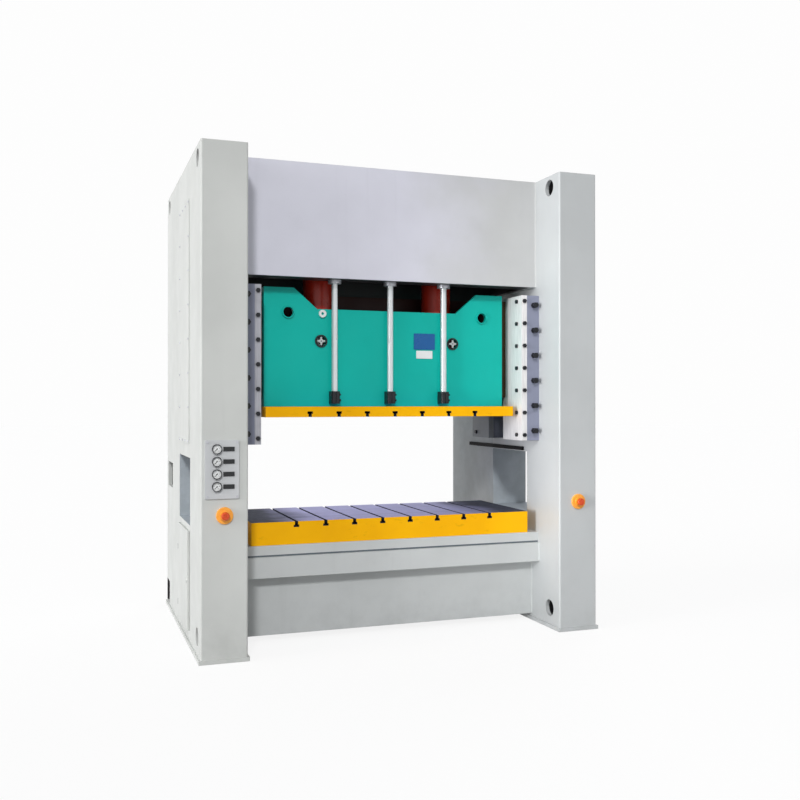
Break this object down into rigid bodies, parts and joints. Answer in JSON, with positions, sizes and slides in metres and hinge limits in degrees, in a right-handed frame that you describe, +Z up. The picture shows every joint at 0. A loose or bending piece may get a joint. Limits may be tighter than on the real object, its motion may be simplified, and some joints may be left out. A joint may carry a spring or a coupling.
{
  "type": "gantry hydraulic press",
  "caption": "Straight-side gantry hydraulic press: box uprights, crown and bed, a guided slide with T-slot plate above a T-slot bolster, return rods, gauges and stop buttons.",
  "frame": {"origin": "centre of the overall footprint, on the floor", "axes": "+X to the right seen from the front, +Y from the front to the back, +Z up"},
  "size_m": [2.778, 1.942, 3.18],
  "materials": {
    "frame_paint": "satin light grey enamel",
    "slide_paint": "satin teal enamel",
    "table_paint": "yellow enamel on the sides, machined top",
    "guide_paint": "satin pale grey",
    "machined_steel": "ground",
    "bronze": "machined bronze",
    "cylinder_paint": "red enamel",
    "chrome": "hard chrome",
    "black_steel": "black oxide",
    "gauge_metal": "satin bezel",
    "dial_white": "matt",
    "lens": "clear",
    "pointer_black": "matt black",
    "panel_white": "satin white",
    "label_black": "matt black",
    "stop_yellow": "gloss",
    "stop_red": "gloss",
    "plate_blue": "satin",
    "plate_white": "satin"
  },
  "bodies": {
    "frame": {"left_upright": "frame_paint", "right_upright": "frame_paint", "crown": "frame_paint", "bed": "frame_paint", "bolster_plate": "table_paint", "left_front_guide_block": "guide_paint", "right_front_guide_block": "guide_paint", "left_rear_guide_block": "guide_paint", "right_rear_guide_block": "guide_paint", "left_front_guide_strip": "machined_steel", "right_front_guide_strip": "machined_steel", "left_rear_guide_strip": "machined_steel", "right_rear_guide_strip": "machined_steel", "guide_adjusters": "black_steel", "guide_bolts": "black_steel", "left_cylinder_barrel": "cylinder_paint", "right_cylinder_barrel": "cylinder_paint", "cylinder_ring_nuts": "machined_steel", "rod_glands": "machined_steel", "left_hinge_posts": "black_steel", "right_hinge_posts": "black_steel", "side_covers": "frame_paint", "drip_lips": "black_steel", "gauge_panel": "panel_white", "gauge_cases": "gauge_metal", "gauge_dials": "dial_white", "gauge_lenses": "lens", "gauge_labels": "label_black", "panel_screws": "machined_steel", "left_stop_base": "stop_yellow", "right_stop_base": "stop_yellow"},
    "slide": {"slide_frame": "slide_paint", "slide_plate": "table_paint", "left_guide_shoes": "bronze", "right_guide_shoes": "bronze", "left_lug_liners": "bronze", "right_lug_liners": "bronze", "left_ram": "chrome", "right_ram": "chrome", "left_return_rod": "chrome", "middle_return_rod": "chrome", "right_return_rod": "chrome", "left_rod_clamp": "black_steel", "middle_rod_clamp": "black_steel", "right_rod_clamp": "black_steel", "clamp_bolts": "black_steel", "hole_collars": "machined_steel", "spoked_covers": "machined_steel", "slide_fitting": "plate_white", "upper_face_plate": "plate_blue", "lower_face_plate": "plate_white"},
    "left_door": {"left_door": "frame_paint"},
    "right_door": {"right_door": "frame_paint"},
    "left_stop_button": {"left_stop_button": "stop_red"},
    "right_stop_button": {"right_stop_button": "stop_red"},
    "pointer_1": {"gauge_pointer_1": "pointer_black"},
    "pointer_2": {"gauge_pointer_2": "pointer_black"},
    "pointer_3": {"gauge_pointer_3": "pointer_black"},
    "pointer_4": {"gauge_pointer_4": "pointer_black"}
  },
  "joints": [
    {"name": "slide_stroke", "type": "slide", "parent": "frame", "child": "slide", "axis": [0, 0, 1], "range_m": [-0.5, 0.03]},
    {"name": "left_door_hinge", "type": "hinge", "parent": "frame", "child": "left_door", "pos_m": [-1.3775, 0.125, 0.415], "axis": [0, 0, -1], "range_deg": [0, 110]},
    {"name": "right_door_hinge", "type": "hinge", "parent": "frame", "child": "right_door", "pos_m": [1.3775, 0.125, 0.415], "axis": [0, 0, 1], "range_deg": [0, 110]},
    {"name": "left_stop_press", "type": "slide", "parent": "frame", "child": "left_stop_button", "axis": [0, 1, 0], "range_m": [0, 0.006], "stiffness_N_per_m": 2000},
    {"name": "right_stop_press", "type": "slide", "parent": "frame", "child": "right_stop_button", "axis": [0, 1, 0], "range_m": [0, 0.006], "stiffness_N_per_m": 2000},
    {"name": "pointer_1_turn", "type": "hinge", "parent": "frame", "child": "pointer_1", "pos_m": [-1.273, -0.9365, 1.072], "axis": [0, 1, 0], "range_deg": [0, 270], "stiffness_Nm_per_rad": 0.0005},
    {"name": "pointer_2_turn", "type": "hinge", "parent": "frame", "child": "pointer_2", "pos_m": [-1.273, -0.9365, 1.148], "axis": [0, 1, 0], "range_deg": [0, 270], "stiffness_Nm_per_rad": 0.0005},
    {"name": "pointer_3_turn", "type": "hinge", "parent": "frame", "child": "pointer_3", "pos_m": [-1.273, -0.9365, 1.224], "axis": [0, 1, 0], "range_deg": [0, 270], "stiffness_Nm_per_rad": 0.0005},
    {"name": "pointer_4_turn", "type": "hinge", "parent": "frame", "child": "pointer_4", "pos_m": [-1.273, -0.9365, 1.3], "axis": [0, 1, 0], "range_deg": [0, 270], "stiffness_Nm_per_rad": 0.0005}
  ]
}
